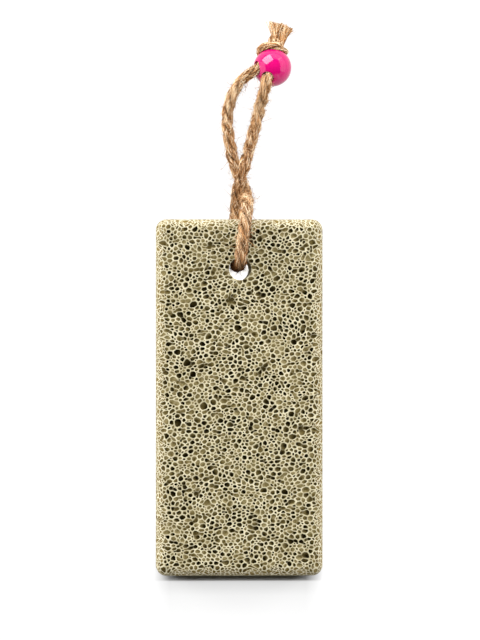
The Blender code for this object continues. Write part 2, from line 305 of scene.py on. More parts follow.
def jute_finish(name, twine):
    """Bundled plant fibre: fine streaks along each ply, with painted shade in the grooves
    between the plies and down the stone's hole.
    """
    jute = Finish(name)
    lay = jute.attribute("lay", "Vector")
    depth = jute.attribute("depth")
    shade = jute.attribute("shade")
    stretched = jute.node("ShaderNodeMapping", sockets={"Vector": lay, "Scale": (1.0, 1.0, 0.1)})
    streaks = jute.noise(stretched, 5.5, 4.0, 0.7)
    locks = jute.noise(stretched, 1.6)
    patches = jute.noise(jute.place(), 220.0)
    dark = twine.dark_colour
    brown = (0.315, 0.134, 0.048)
    stops = ((0.0, dark), (0.35, brown), (0.62, twine.light_colour), (1.0, PALE_JUTE))
    colour = jute.ramp(jute.range(streaks, 0.38, 0.62), stops)
    colour = jute.tint(colour, dark, locks, 0.38, 0.50, 0.65, 0.0)
    colour = jute.tint(colour, PALE_JUTE, locks, 0.54, 0.64, 0.0, 0.65)
    colour = jute.tint(colour, (0.34, 0.16, 0.066), patches, 0.4, 0.7, 0.0, 0.25)
    # painted shade in the grooves between the plies and down the stone's hole
    colour = jute.tint(colour, (0.030, 0.012, 0.004), depth, 0.12, 0.7, 0.0, 0.97)
    colour = jute.tint(colour, (0.36, 0.28, 0.22), shade, -1.6, 0.0, 0.8, 0.0, blend="MULTIPLY")
    colour = jute.tint(colour, PALE_JUTE, shade, 0.0, 1.0, 0.0, 0.80)
    return jute.surface(
        Base_Color=colour,
        Roughness=0.85,
        Specular_IOR_Level=0.08,
        Normal=jute.bump(streaks + locks * 0.6, 0.00012, 0.9),
    )


def fibre_finish(twine):
    """Single fibres, each a little lighter or darker than the next."""
    fibre = Finish("jute_fibre")
    stops = (
        (0.0, (0.100, 0.039, 0.012)),
        (0.3, (0.345, 0.147, 0.050)),
        (0.6, twine.light_colour),
        (1.0, (0.93, 0.785, 0.56)),
    )
    colour = fibre.ramp(fibre.attribute("tone"), stops)
    return fibre.surface(Base_Color=colour, Roughness=0.7, Specular_IOR_Level=0.12)


def bead_finish(bead):
    """Opaque moulded plastic under a polished skin."""
    gloss = Finish("pink_gloss")
    place = gloss.place()
    cloud = gloss.noise(place, 90.0, 1.0)
    ripple = gloss.noise(place, 240.0, 1.0)
    return gloss.surface(
        Base_Color=gloss.tint(bead.colour, (0.66, 0.01, 0.22), cloud, 0.3, 0.7, 0.0, 0.12),
        Roughness=0.06,
        Specular_IOR_Level=0.5,
        Normal=gloss.bump(ripple, 0.000006, 0.15),
    )


# ---------------------------------------------------------------- shapes


def add_mesh(name, points, faces, smooth=True):
    """Link a new mesh object made from points and faces."""
    mesh = bpy.data.meshes.new(name)
    mesh.from_pydata([tuple(p) for p in points], [], faces)
    mesh.validate()
    if smooth:
        mesh.shade_smooth()
    obj = bpy.data.objects.new(name, mesh)
    bpy.context.scene.collection.objects.link(obj)
    return obj


def sheet_faces(sheets, rows, columns, closed=False):
    """Quads between the points of like sheets, or of tubes if each row is closed."""
    low = np.arange(sheets)[:, None, None] * rows * columns
    low = low + np.arange(rows - 1)[None, :, None] * columns
    here = np.arange(columns if closed else columns - 1)
    after = (here + 1) % columns
    quads = (low + here, low + after, low + columns + after, low + columns + here)
    return np.stack(quads, axis=-1).reshape(-1, 4).tolist()


def solid_tube(name, points, sides):
    """A closed tube made of rings of points."""
    count = len(points)
    faces = sheet_faces(1, count // sides, sides, closed=True)
    faces += [list(reversed(range(sides))), list(range(count - sides, count))]
    return add_mesh(name, points, faces, smooth=False)


def add_attribute(obj, name, values, kind="FLOAT"):
    layer = obj.data.attributes.new(name, kind, "POINT")
    layer.data.foreach_set("value" if kind == "FLOAT" else "vector", np.ravel(values))


def only(obj):
    """Deselect everything, then select and activate one object."""
    for other in bpy.context.selected_objects:
        other.select_set(False)
    obj.select_set(True)
    bpy.context.view_layer.objects.active = obj


def apply_modifiers(obj):
    only(obj)
    for modifier in list(obj.modifiers):
        bpy.ops.object.modifier_apply(modifier=modifier.name)


def cut(obj, cutter):
    """Take a solid out of a piece and remove the solid."""
    modifier = obj.modifiers.new("cut", "BOOLEAN")
    modifier.operation = "DIFFERENCE"
    modifier.solver = "EXACT"
    modifier.object = cutter
    apply_modifiers(obj)
    bpy.data.objects.remove(cutter, do_unlink=True)


def finish_piece(obj, material, node=None):
    """Give a piece its finish and tie it to the frame."""
    obj.data.materials.clear()
    obj.data.materials.append(material)
    if node:
        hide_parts(node)
    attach(obj, "root")


def stone_matrix():
    """From the slab's own axes, centred in it, to the frame."""
    middle = (STONE_BOX[0] + STONE_BOX[1]) / 2
    turned = Matrix.Translation(middle + Vector((0, 0, 0.00002))) @ Matrix.Rotation(TILT, 4, "X")
    return turned @ Matrix.Translation((0, -0.0002, 0))


# ---------------------------------------------------------------- the stone

# radius of the pores, and how many are tried on the front, the largest first
PORE_SIZES = (
    (0.0008, 4), (0.0007, 50), (0.0006, 300), (0.00052, 1200), (0.00045, 3800),
    (0.00038, 8500), (0.00032, 12000), (0.00026, 13000), (0.00021, 9000),
)
FRONT_AREA = 0.047 * 0.100
FACE_SHARE = {(2, 1): 1.0, (2, -1): 0.50}  # of those tries on the front and the back
SIDE_SHARE = 0.40  # and on the other faces
SMALL = 0.00056  # smaller pores are cones, with no floor
STRETCH = 1.40  # pores are this much longer than they are high
SLANT = math.radians(12)  # and lie this much off level
# waves over the slab, along which the pores run deeper: across, along and start
ZONES = ((420.0, 260.0, 0.4), (-190.0, 520.0, 2.1), (130.0, 310.0, 4.4), (760.0, -330.0, 1.3))

SIDES = (-1, 1)
FACES = tuple((axis, side) for axis in range(3) for side in SIDES)
OTHERS = ((1, 2), (2, 0), (0, 1))  # the two axes that follow each axis
EDGE_STEPS = (0.0007, 0.0016)  # between pores along an edge
EDGE_PORES = (0.0003, 0.0006)  # and their radius
MOST_PORES = 8000  # room for those of one face
# the band along the rounded edges is painted paler: painted light that wraps round them
SIDE_BAND = 0.0020  # how far the paler band by the edges reaches over the narrow faces
MORE_PITS = 9  # worn pits on the other faces
# painted shade in the worn pits: the darkness that their middles are painted toward
PIT_DARK = 0.72
WORN, WORN_UPRIGHT = 0.02, 0.08  # chance of a worn wall, and of one between side by side pores
HOLE_SIDES, HOLE_LAYERS = 40, 26
KNOB_CHANCE = 0.22
KNOBS = (0.0002, 0.0006)


def openness(place):
    """How deep the pores run in this part of the rock, from about -1 to 1."""
    across = place[0] + 0.8 * place[2]
    return sum(math.sin(a * across + b * place[1] + c) for a, b, c in ZONES) / len(ZONES) * 1.5


# worn pits on the face: x and y on the slab, radius and depth
PITS = (
    (-0.0025, 0.0272, 0.0021, 0.0006), (0.0068, 0.0081, 0.0015, 0.0008),
    (0.0173, -0.0087, 0.0017, 0.0006), (-0.0082, 0.0427, 0.0016, 0.0005),
    (0.0205, 0.0172, 0.0013, 0.0006), (-0.012, -0.027, 0.0014, 0.0005),
)


def strewn_pits(half, rng):
    """The face's pits, and more on the other faces, as places on the box."""
    pits = [(np.array((x, y, half[2])), radius, depth) for x, y, radius, depth in PITS]
    for _ in range(MORE_PITS):
        place = np.array([rng.uniform(-0.8, 0.8) * h for h in half])
        axis, side = rng.choice(((2, -1), (2, -1), (0, 1), (0, -1), (1, -1)))
        place[axis] = side * half[axis]
        pits.append((place, rng.uniform(0.0012, 0.0021), rng.uniform(0.0004, 0.0008)))
    return pits


def worn(place, pits):
    """How far a place lies in a pit, from 0 to 1, and that pit's depth."""
    best, deep = 0.0, 0.0
    for middle, radius, depth in pits:
        off = place - middle
        if abs(off[1]) < radius:
            fall = max(0.0, 1 - off.dot(off) / radius**2) ** 2
            if fall > best:
                best, deep = fall, depth
    return best, deep


class Pores:
    """Pore centres on the slab's square-edged box, each with its radius."""

    def __init__(self, half, rng):
        self.half = half
        self.rng = rng
        self.places = []
        self.sizes = []

    def add(self, axis, along, off, size):
        """Put in a pore by its distances along an axis and along the two that follow."""
        place = [along, *off]
        self.places.append(place[-axis:] + place[:-axis])
        self.sizes.append(size)

    def on_face(self, axis, side):
        """Numbers of the pores on one face, with those on its edges."""
        return [i for i, p in enumerate(self.places) if p[axis] == side * self.half[axis]]

    def edges(self):
        """Pores at the corners and, unevenly spaced, along the edges."""
        for axis, (a, b) in enumerate(OTHERS):
            end = self.half[axis]
            for sa in SIDES:
                for sb in SIDES:
                    stops = []
                    along = self.rng.uniform(*EDGE_STEPS) - end
                    while along <= end - EDGE_STEPS[0]:
                        stops.append(along)
                        along += self.rng.uniform(*EDGE_STEPS)
                    if not axis:
                        stops = [-end, *stops, end]
                    off = (sa * self.half[a], sb * self.half[b])
                    for along in stops:
                        self.add(axis, along, off, self.rng.uniform(*EDGE_PORES))

    def face(self, axis, side):
        """Pores strewn over one face, the largest first."""
        near = self.on_face(axis, side)
        a, b = OTHERS[axis]
        reach = (self.half[a], self.half[b])
        level, slope = math.cos(SLANT), math.sin(SLANT)
        lengthwise = np.array(((slope, level), (0.0, 1.0), (level, slope * side))[axis])
        squeeze = np.identity(2) + np.outer(lengthwise, lengthwise) * (1 / STRETCH - 1)
        share = 4 * reach[0] * reach[1] / FRONT_AREA * FACE_SHARE.get((axis, side), SIDE_SHARE)
        used = len(near)
        spots, radii = np.zeros((MOST_PORES, 2)), np.zeros(MOST_PORES)
        spots[:used] = [(self.places[i][a], self.places[i][b]) for i in near]
        radii[:used] = [self.sizes[i] for i in near]
        spots = spots @ squeeze
        for size, tries in PORE_SIZES:
            for _ in range(round(tries * share)):
                spot = [self.rng.uniform(-h, h) for h in reach]
                scaled = np.array(spot) @ squeeze
                gaps = ((spots[:used] - scaled) ** 2).sum(axis=1)
                if np.all(gaps > (radii[:used] + size) ** 2):
                    spots[used] = scaled
                    radii[used] = size
                    used += 1
                    self.add(axis, side * self.half[axis], spot, size)

    def triangles(self):
        """Triangles between neighbouring pores on each face of the box, facing out."""
        found = []
        for axis, side in FACES:
            here = self.on_face(axis, side)
            a, b = OTHERS[axis]
            flat = [Vector((self.places[i][a], self.places[i][b])) for i in here]
            for x, y, z in delaunay_2d_cdt(flat, [], [], 0, 1e-8)[2]:
                order = (x, y, z) if side > 0 else (x, z, y)
                found.append(tuple(here[i] for i in order))
        return found


# kinds of pore: the draw that each goes up to, its fill of the cell, the rounding of its rim,
# depths of foot and middle, width of floor, its painted shade, how much darker one side is
# painted, and painted darker bottoms
PORE_KINDS = (
    (0.29, (0.88, 1.0), 0.35, (0.9, 1.4), (1.3, 1.9), 0.88, (0.84, 1.0), 0.30, ()),
    (0.70, (0.90, 1.0), 0.25, (0.5, 0.8), (0.8, 1.2), 0.82, (0.42, 0.74), 0.40, (0.0, 0.25, 0.45)),
    (9.0, (0.94, 1.0), 0.15, (0.15, 0.3), (0.3, 0.6), 0.78, (0.05, 0.34), 0.32, (0.0, 0.15, 0.45)),
)


class Pore:
    """The form of one pore: its fill of the cell, depths, painted shade and off-centre bottom."""

    def __init__(self, centre, size, edge, rng):
        draw = rng.random() - 0.20 * openness(centre) + 0.12 * (1 - edge)
        kind = next(kind for kind in PORE_KINDS if draw < kind[0])
        fill, self.rounding, foot, middle, self.floor, dark, self.turn, spots = kind[1:]
        soft = min(size, 0.0008) * (0.6 + 0.4 * edge)
        self.centre = centre
        self.fill = rng.uniform(*fill)
        self.foot = rng.uniform(*foot) * soft
        self.middle = rng.uniform(*middle) * soft
        # pores by the edges are painted in less shade
        self.dark = rng.uniform(*dark) * (0.66 + 0.34 * edge)
        self.spot = rng.choice(spots) * edge if spots else 0.0
        lean = np.array([rng.uniform(-0.30, 0.30) for _ in range(3)]) + (0.12, -0.06, 0.0)
        self.lean = lean * size * (1.3 if self.spot > 0.2 else 0.8)

    def shade(self, place):
        """The pore's painted shade where a place lies: darker on one side, as if lit from the
        other.
        """
        off = place - self.centre
        size = np.linalg.norm(off) * np.linalg.norm(self.lean)
        return min(1.0, max(0.0, self.dark + self.turn * off.dot(self.lean) / max(size, 1e-12)))

    def rim(self, corners, wall, rng):
        """The pore's rim: its cell drawn in by half a wall, filled and rounded as it asks."""
        count = len(corners)
        heights = []
        for k, corner in enumerate(corners):
            edge = corners[(k + 1) % count] - corner
            off = np.cross(edge, self.centre - corner)
            heights.append(np.linalg.norm(off) / max(np.linalg.norm(edge), 1e-7))
        spokes = [corner - self.centre for corner in corners]
        reach = [np.linalg.norm(spoke) for spoke in spokes]
        mean = sum(reach) / count
        rim = []
        for k, spoke in enumerate(spokes):
            inset = 0.25 * wall * (1 / max(heights[k - 1], 1e-5) + 1 / max(heights[k], 1e-5))
            keep = (1 - min(inset, 0.6)) * self.fill
            if reach[k] > mean:
                keep *= ((1 - self.rounding) * reach[k] + self.rounding * mean) / reach[k]
            keep *= rng.uniform(0.94, 1.0)
            rim.append(self.centre + spoke * keep)
        return rim


def uneven(places):
    """Slow waves that make the rounding of each edge wander, for each axis at each place."""
    waves = np.zeros_like(places)
    for axis in range(3):
        for length, phase in ((0.0067, 0.7), (0.0041, 2.9), (0.0026, 5.1)):
            turn = math.tau / length
            slant = places @ np.array((1.0, 1.0 + 0.13 * axis, 0.7)) * turn
            waves[:, axis] += np.sin(slant + phase + 2.3 * axis) * 0.2
    return waves


def pored_slab(stone):
    """The slab as one skin of walls and pores, with marks for its finish at each point."""
    rng = random.Random(stone.seed)
    half = np.array((stone.width, stone.length, stone.thickness)) / 2
    pores = Pores(half.tolist(), rng)
    pores.edges()
    for axis, side in FACES:
        pores.face(axis, side)
    triangles = pores.triangles()
    places = np.array(pores.places)
    tri = np.array(triangles)
    w = (1 / np.array(pores.sizes))[tri]
    corners = (places[tri] * w[:, :, None]).sum(axis=1) / w.sum(axis=1)[:, None]
    starting, after, first = {}, {}, {}
    for number, (a, b, c) in enumerate(triangles):
        for here, ahead, behind in ((a, b, c), (b, c, a), (c, a, b)):
            starting[here, ahead] = number
            after[here, number] = behind
            first[here] = number
    points, marks, faces = [], [], []
    rim_at, forms = {}, []
    limit = half - stone.edge_radius
    pits = strewn_pits(half, rng)

    def add(place, depth, inside, dark, tone, band):
        fall, deep = worn(place, pits)
        points.append(place)
        # a worn pit is painted in shade, most at its middle
        dark += (PIT_DARK - dark) * fall
        marks.append((depth + deep * fall, inside + 0.4 * fall, dark, tone, band))

    for here, centre in enumerate(places):
        ring = [first[here]]
        while (number := starting[here, after[here, ring[-1]]]) != ring[0]:
            ring.append(number)
        over = np.sort(np.abs(centre) - limit)
        # how far a point lies in the band of painted light along the rounded edges
        wide = 0.0 if abs(centre[2]) == half[2] else SIDE_BAND
        band = min(max((over[-2] + wide) / stone.edge_radius, 0), 1)
        size = pores.sizes[here]
        pore = Pore(centre, size, 1 - band, rng)
        pore.lean[np.argmax(np.abs(centre) / half)] = 0.0
        forms.append(pore)
        rim = pore.rim([corners[n] for n in ring], stone.wall, rng)
        look = (rng.random(), band)
        base, count = len(points), len(ring)
        for n, p in zip(ring, rim):
            rim_at[here, n] = len(points)
            add(p, 0.0, 0.0, pore.shade(p), *look)
        # the pore's low point is painted in its darkest shade
        low = centre + pore.lean
        if size < SMALL:
            add(low, pore.middle, 2.2, min(1.0, pore.dark + 0.1), *look)
            faces += [(base + k, base + (k + 1) % count, base + count) for k in range(count)]
            continue
        for p in rim:
            place = centre + 0.25 * pore.lean + (p - centre) * pore.floor * rng.uniform(0.94, 1.03)
            add(place, pore.foot * rng.uniform(0.85, 1.1), 0.6, pore.shade(p), *look)
        add(low, pore.middle, 1.0, min(1.0, pore.dark + pore.spot), *look)
        for k in range(count):
            j = (k + 1) % count
            faces.append((base + k, base + j, base + count + j, base + count + k))
            faces.append((base + count + k, base + count + j, base + 2 * count))
    for number, (a, b, c) in enumerate(triangles):
        faces.append((rim_at[a, number], rim_at[b, number], rim_at[c, number]))
        for p, q in ((a, b), (b, c), (c, a)):
            if p < q:
                other = starting[q, p]
                wall = (rim_at[q, number], rim_at[p, number], rim_at[p, other], rim_at[q, other])
                faces.append(wall)
                off = np.abs(places[p] - places[q])
                chance = WORN_UPRIGHT if off[0] > 1.6 * off[1] else WORN
                if rng.random() < chance and marks[wall[0]][4] < 0.5:
                    # a worn wall is sunk and painted in the shade of its two pores
                    sink = 0.4 * min(forms[p].middle, forms[q].middle)
                    dark = (forms[p].dark + forms[q].dark) / 2
                    for point in wall:
                        mark = marks[point]
                        marks[point] = (max(mark[0], sink), max(mark[1], 0.3), dark, *mark[3:])
    box, marks = np.array(points), np.array(marks)
    inner = np.clip(box, -limit, limit)
    normal = (box - inner) * (1 + uneven(inner))
    normal /= np.linalg.norm(normal, axis=1)[:, None]
    skin = inner + normal * (stone.edge_radius - marks[:, 0])[:, None]
    return skin, faces, marks


def hole_core(stone):
    """The drilled hole as a solid, knobbly between its mouths where it cuts through pores."""
    rng = random.Random(stone.seed + 1)
    reach = stone.thickness / 2 + 0.001
    points = []
    for layer in range(HOLE_LAYERS + 1):
        height = reach * (2 * layer / HOLE_LAYERS - 1)
        across = 0.00006 + 0.00016 * height / reach
        for k in range(HOLE_SIDES):
            turn = math.tau * k / HOLE_SIDES
            radius = stone.hole_radius
            if 2 < layer < HOLE_LAYERS - 2 and rng.random() < KNOB_CHANCE:
                radius += rng.uniform(*KNOBS)
            along = stone.hole_offset + radius * math.sin(turn)
            points.append((across + radius * math.cos(turn), along, height))
    return solid_tube("hole_core", points, HOLE_SIDES)


class BATHSTONE_OT_stone(Operator):
    """Make the pumice slab with its pores and its hanging hole"""

    bl_idname = "bathstone.stone"
    bl_label = "Pumice Slab"

    def execute(self, context):
        stone = context.scene.bath_stone
        skin, faces, marks = pored_slab(stone)
        slab = add_mesh("pored_stone", skin, faces)
        for number, name in enumerate(PORE_MARKS, 1):
            add_attribute(slab, name, marks[:, number])
        cut(slab, hole_core(stone))
        slab.data.transform(stone_matrix())
        slab.data.shade_smooth()
        finish_piece(slab, pumice_finish(stone), "pumice_stone")
        return {"FINISHED"}


# ---------------------------------------------------------------- the twine

GROOVE = 0.40  # depth of the grooves between the plies, by the twine's radius
FIBRE_PITCH = 0.055  # length in which the fibres turn once round their ply
PLY_COLUMNS = 13
LOOP_SPACING = 0.00035
KNOT_SPACING = 0.0003
LAID_FIBRES = 3400
TURN_FIBRES, STRAND_FIBRES = 420, 130
HAIRS, LONGEST_HAIR = 1500, 0.0056
CURLS, LONGEST_CURL = 620, 0.0042
FIBRE_RADII = (0.00004, 0.00009)
KNOT_FIBRE_RADII = (0.00004, 0.00008)
HAIR_RADII = (0.000034, 0.000068)
HAIR_GAP = 0.0002  # between the bead and the nearest hair
FLOOR_GAPS = (0.00001, 0.00003)  # under the plies and under the fibres
FIBRE_STEPS = np.linspace(-1, 1, 8)
FIBRE_TAPER = np.array((0.5, 0.9, 1, 1, 1, 1, 0.9, 0.5))
HAIR_STEPS = np.linspace(0, 1, 11)
HAIR_TAPER = np.linspace(1, 0.3, 11)


def heading(before, here, after):
    """Direction of a smooth curve at a route point, about one unit long."""
    return (after - before) / ((here - before).length + (after - here).length)


def between(along, stops, field):
    """Vectors at distances along a line, from those at its stops."""
    return np.stack([np.interp(along, stops, column) for column in field.T], axis=-1)


class Line:
    """A smooth curve through route points: even points with frames that turn least."""

    def __init__(self, stops, spacing):
        places = [Vector(stop[:3]) for stop in stops]
        last = len(places) - 1
        dense, shares = [], []
        for i in range(last):
            start, end = places[i], places[i + 1]
            reach = (end - start).length / 3
            leave = start + heading(places[max(i - 1, 0)], start, end) * reach
            arrive = end - heading(start, end, places[min(i + 2, last)]) * reach
            dense += [tuple(p) for p in interpolate_bezier(start, leave, arrive, end, 17)[:-1]]
            shares += [stops[i][3] + (stops[i + 1][3] - stops[i][3]) * k / 16 for k in range(16)]
        dense.append(tuple(places[last]))
        shares.append(stops[last][3])
        dense = np.array(dense)
        gone = np.concatenate(([0], np.cumsum(np.linalg.norm(np.diff(dense, axis=0), axis=1))))
        self.length = float(gone[-1])
        count = max(3, round(self.length / spacing) + 1)
        self.along = np.linspace(0, self.length, count)
        self.points = between(self.along, gone, dense)
        self.share = np.interp(self.along, gone, shares)
        tangent = np.gradient(self.points, axis=0)
        self.tangent = tangent / np.linalg.norm(tangent, axis=1)[:, None]
        across = np.array(Vector(self.tangent[0]).orthogonal().normalized())
        self.across = np.zeros_like(self.points)
        for i, along in enumerate(self.tangent):
            across = across - along * across.dot(along)
            across /= np.linalg.norm(across)
            self.across[i] = across
        self.up = np.cross(self.tangent, self.across)

    def at(self, along, angle, radius):
        """Points at distances along the line, at an angle round it and a radius from it."""
        fields = (self.points, self.across, self.up)
        middle, across, up = (between(along, self.along, field) for field in fields)
        spoke = np.cos(angle)[..., None] * across + np.sin(angle)[..., None] * up
        return middle + spoke * np.asarray(radius)[..., None], spoke


def wander(rng, along, wavelength):
    """A smooth random wave between about -1 and 1, made of four sines."""
    total = np.zeros_like(along, dtype=float)
    for _ in range(4):
        turns = math.tau / (wavelength * rng.uniform(0.6, 1.7))
        total += np.sin(along * turns + rng.uniform(0, math.tau)) / 4
    return total * 1.6


def hole_shade(points):
    """How far down the stone's hole each point lies, from 0 at the mouth to 1, for painted shade.
    """
    stone = bpy.context.scene.bath_stone
    turn = np.array(stone_matrix().inverted())
    local = points @ turn[:3, :3].T + turn[:3, 3]
    off = np.hypot(local[..., 0], local[..., 1] - stone.hole_offset)
    down = np.clip((stone.thickness / 2 + 0.0030 - local[..., 2]) / 0.0036, 0, 1)
    under = np.clip((stone.hole_offset + 0.0019 - local[..., 1]) / 0.0026, 0, 1)
    within = (off < stone.hole_radius + 0.0009) * (local[..., 2] > -stone.thickness / 2)
    return np.maximum(down, 0.85 * under) * within


class Twine:
    """Soft plies laid together round a line: the shape that skin and fibres share."""

    def __init__(self, line, settings, seed, shades):
        self.line = line
        self.shades = np.array(shades)
        self.rng = np.random.default_rng(seed)
        self.plies = settings.plies
        self.turns = -math.tau / settings.pitch
        self.full = settings.diameter / 2
        self.start = self.rng.uniform(0, math.tau)
        self.swell = [wander(self.rng, line.along, 0.006) for _ in range(self.plies)]
        self.sway = wander(self.rng, line.along, 0.03)

    def shade(self, along):
        """How much paler the jute is at distances along the line; below 0 it is darker."""
        return np.interp(along / self.line.length, self.shades[:, 0], self.shades[:, 1])

    def ply_angle(self, ply, along):
        """Where round the line a ply's middle lies, at distances along it."""
        sway = np.interp(along, self.line.along, self.sway)
        return self.start + self.turns * along + 0.35 * sway + math.tau * ply / self.plies

    def radius(self, ply, along, share):
        """Radius of a ply's surface, by its share of the way from middle to groove."""
        swell = np.interp(along, self.line.along, self.swell[ply])
        full = self.full * np.interp(along, self.line.along, self.line.share)
        return full * (1 + 0.045 * swell) * (1 - 0.40 * np.abs(share) ** 2.1)
        return full * (1 + 0.045 * swell) * (1 - GROOVE * np.abs(share) ** 2.1)

    def skin(self, name):
        """The plies' surfaces as one piece."""
        rows = self.line.along
        along, share = np.meshgrid(rows, np.linspace(-1, 1, PLY_COLUMNS), indexing="ij")
        points, lay, depth = [], [], []
        for ply in range(self.plies):
            gaps = 0.55 + 0.45 * wander(self.rng, rows, 0.004)
            angle = self.ply_angle(ply, along) + math.pi / self.plies * share
            place, _ = self.line.at(along, angle, self.radius(ply, along, share))
            slant = angle + along * math.tau / FIBRE_PITCH
            side = 1.6 * np.cos(slant) + 9.0 * ply
            points.append(place)
            lay.append(np.stack((side, 1.6 * np.sin(slant), along * 1000), axis=-1))
            # painted shade in the grooves, which varies along the twine
            depth.append(np.abs(share) ** 4 * np.clip(gaps, 0.1, 1)[:, None])
        points = np.reshape(points, (-1, 3))
        points[:, 2] = np.maximum(points[:, 2], FLOOR_GAPS[0])
        # painted shade down the stone's hole
        sunk = hole_shade(points)
        depth = np.maximum(np.ravel(depth), (sunk > 0) * (0.12 + 0.50 * sunk))
        obj = add_mesh(name, points, sheet_faces(self.plies, len(rows), PLY_COLUMNS))
        add_attribute(obj, "lay", lay, "FLOAT_VECTOR")
        add_attribute(obj, "depth", depth)
        add_attribute(obj, "shade", np.tile(self.shade(along).ravel(), self.plies))
        return obj

    def surface_fibres(self, count):
        """Fibres that cross the plies from groove to groove: paths, spokes and tones."""
        steps, rng = FIBRE_STEPS, self.rng
        reach = abs(math.tau / self.turns) / self.plies / 2
        middle = rng.uniform(reach, self.line.length - reach, count)
        ply = rng.integers(0, self.plies, count)
        shift = rng.normal(0, 0.35, count)
        extent = rng.uniform(0.35, 1.0, count)
        slope = rng.normal(1.0, 0.45, count)
        lift = rng.uniform(-0.00002, 0.00005, count)
        loose = rng.random(count) < 0.10
        lift[loose] += rng.uniform(0.00005, 0.0003, loose.sum())
        fibres = []
        for k in range(count):
            along = middle[k] + steps * reach * extent[k]
            share = np.clip(shift[k] + steps * extent[k] * slope[k], -1.15, 1.15)
            angle = self.ply_angle(ply[k], along) + math.pi / self.plies * share
            bow = lift[k] * (1 - steps**4) - 0.00005 * steps**6
            place, spoke = self.line.at(along, angle, self.radius(ply[k], along, share) + bow)
            lock = math.sin(4 * share[4] + 900 * middle[k] + 2 * ply[k])
            lock += math.sin(9 * share[4] - 1400 * middle[k] + 5 * ply[k])
            shade = self.shade(middle[k])
            spread = 1 - 0.5 * min(shade, 0)
            tone = 0.77 + 0.32 * shade + spread * (0.24 * lock + rng.normal(0, 0.31))
            # fibres by the grooves and down the stone's hole are painted darker: painted shade
            fibres.append((place, spoke, tone - 0.8 * np.abs(share) ** 3 - 1.1 * hole_shade(place)))
        return fibres

    def loose_hair(self):
        """A fibre end that stands off the twine and curls: its path and spokes."""
        steps, rng = HAIR_STEPS, self.rng
        along = rng.uniform(0.002, self.line.length - 0.002)
        angle = rng.uniform(0, math.tau)
        place, spoke = self.line.at(along, angle, self.full * 0.88)
        tangent = self.line.tangent[np.searchsorted(self.line.along, along)]
        side = np.cross(tangent, spoke)
        length = LONGEST_HAIR * rng.beta(1.2, 4.2) + 0.0006
        ahead = rng.choice((-1, 1)) * rng.uniform(0.3, 0.9)
        rise = rng.uniform(0.3, 1.0)
        curl = rng.normal(0, 0.9)
        fall = rng.uniform(-1.4, 0.3)
        loop = 0.16 * np.sin(steps * math.pi * rng.uniform(1.0, 3.2)) * steps**0.5
        path = (
            place
            + np.outer((ahead * steps + loop) * length, tangent)
            + np.outer((rise * steps + fall * 0.5 * steps**2 - loop) * length, spoke)
            + np.outer((curl * steps**2 + 1.3 * loop) * length * 0.7, side)
        )
        return path, np.broadcast_to(spoke, path.shape)

    def lying_curl(self):
        """A loose fibre that lies curled on the twine: its path and spokes."""
        steps, rng = HAIR_STEPS, self.rng
        length = rng.uniform(0.25, 1.0) * LONGEST_CURL
        lean = rng.uniform(-1.3, 1.3)
        start = rng.uniform(0.003, self.line.length - 0.003 - length)
        bend = rng.uniform(0.1, 0.35) * rng.choice((-1, 1))
        wave = bend * np.sin(steps * math.pi * rng.uniform(0.8, 2.6))
        along = start + length * (math.cos(lean) * steps - math.sin(lean) * wave)
        across = length * (math.sin(lean) * steps + math.cos(lean) * wave)
        angle = rng.uniform(0, math.tau) + across / self.full
        lift = 0.98 + rng.uniform(0.02, 0.12) * np.sin(steps * math.pi)
        share = np.interp(along, self.line.along, self.line.share)
        return self.line.at(along, angle, self.full * share * lift)


def gathered(fibres):
    """What each of many fibres has, such as its path and its spokes, as one array of each."""
    return [np.array(parts) for parts in zip(*fibres)]


def unit(vectors):
    """Each vector at length one."""
    return vectors / (np.linalg.norm(vectors, axis=2)[..., None] + 1e-12)


def fibre_mesh(name, paths, spokes, tones, radii, taper, sides=3):
    """Many thin fibres of like length as one piece, each with its tones."""
    count, steps = paths.shape[:2]
    tangent = unit(np.gradient(paths, axis=1))
    side = unit(np.cross(tangent, spokes))
    out = np.cross(side, tangent)
    turn = math.tau * np.arange(sides) / sides
    width = (radii[:, None] * taper)[..., None]
    ring = paths[:, :, None] + out[:, :, None] * (np.cos(turn) * width)[..., None]
    ring += side[:, :, None] * (np.sin(turn) * width)[..., None]
    ring[..., 2] = np.maximum(ring[..., 2], FLOOR_GAPS[1])
    faces = sheet_faces(count, steps, sides, closed=True)
    obj = add_mesh(name, ring.reshape(-1, 3), faces)
    add_attribute(obj, "tone", np.clip(np.repeat(tones.ravel(), sides), 0, 1))
    return obj


def press_off_bead(obj, gap):
    """Push whatever lies in the bead out to its surface."""
    for vertex in obj.data.vertices:
        off = vertex.co - BEAD_CENTRE
        short = bpy.context.scene.bath_bead.radius + gap - off.length
        if short > 0:
            vertex.co = vertex.co + off.normalized() * short
    obj.data.update()


